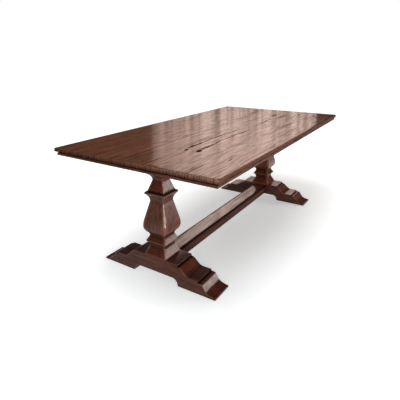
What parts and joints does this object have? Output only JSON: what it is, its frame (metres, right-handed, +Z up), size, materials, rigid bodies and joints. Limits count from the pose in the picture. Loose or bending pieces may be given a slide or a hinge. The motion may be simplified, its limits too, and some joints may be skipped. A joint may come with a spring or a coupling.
{
  "type": "trestle dining table",
  "caption": "Long plank-topped trestle dining table: square baluster posts on moulded sled feet, tied by a low stretcher, in dark stained wood.",
  "frame": {"origin": "on the floor, under the middle of the table top", "axes": "+X along the table's length, +Y across it, +Z up"},
  "size_m": [2.1, 1.1, 0.76],
  "materials": {
    "top_wood": "dark red-brown stain under a glossy satin varnish",
    "edge_wood": "dark red-brown stain under a glossy satin varnish",
    "post_wood": "dark red-brown stain under a glossy satin varnish",
    "foot_wood": "dark red-brown stain under a glossy satin varnish",
    "stretcher_wood": "dark red-brown stain under a glossy satin varnish",
    "frame_wood": "dark stain, thin matt finish",
    "plain_wood": "bare hardwood",
    "zinc_steel": "zinc plated",
    "felt": "dense dark felt"
  },
  "bodies": {
    "root": {"batten_middle": "frame_wood", "bearer_left": "frame_wood", "bearer_right": "frame_wood", "board_tongue_1": "plain_wood", "board_tongue_2": "plain_wood", "board_tongue_3": "plain_wood", "board_tongue_4": "plain_wood", "edge_moulding_back": "edge_wood", "edge_moulding_front": "edge_wood", "edge_moulding_left": "edge_wood", "edge_moulding_right": "edge_wood", "foot_left": "foot_wood", "foot_right": "foot_wood", "frame_screws": "zinc_steel", "glide_pad_left_back": "felt", "glide_pad_left_front": "felt", "glide_pad_right_back": "felt", "glide_pad_right_front": "felt", "mitre_key_back_left": "plain_wood", "mitre_key_back_right": "plain_wood", "mitre_key_front_left": "plain_wood", "mitre_key_front_right": "plain_wood", "post_left": "post_wood", "post_right": "post_wood", "stretcher": "stretcher_wood", "stretcher_screws": "zinc_steel", "tie_rod_left": "zinc_steel", "tie_rod_nuts": "zinc_steel", "tie_rod_plates": "zinc_steel", "tie_rod_right": "zinc_steel", "top_board_1": "top_wood", "top_board_2": "top_wood", "top_board_3": "top_wood", "top_board_4": "top_wood", "top_board_5": "top_wood"}
  },
  "joints": []
}
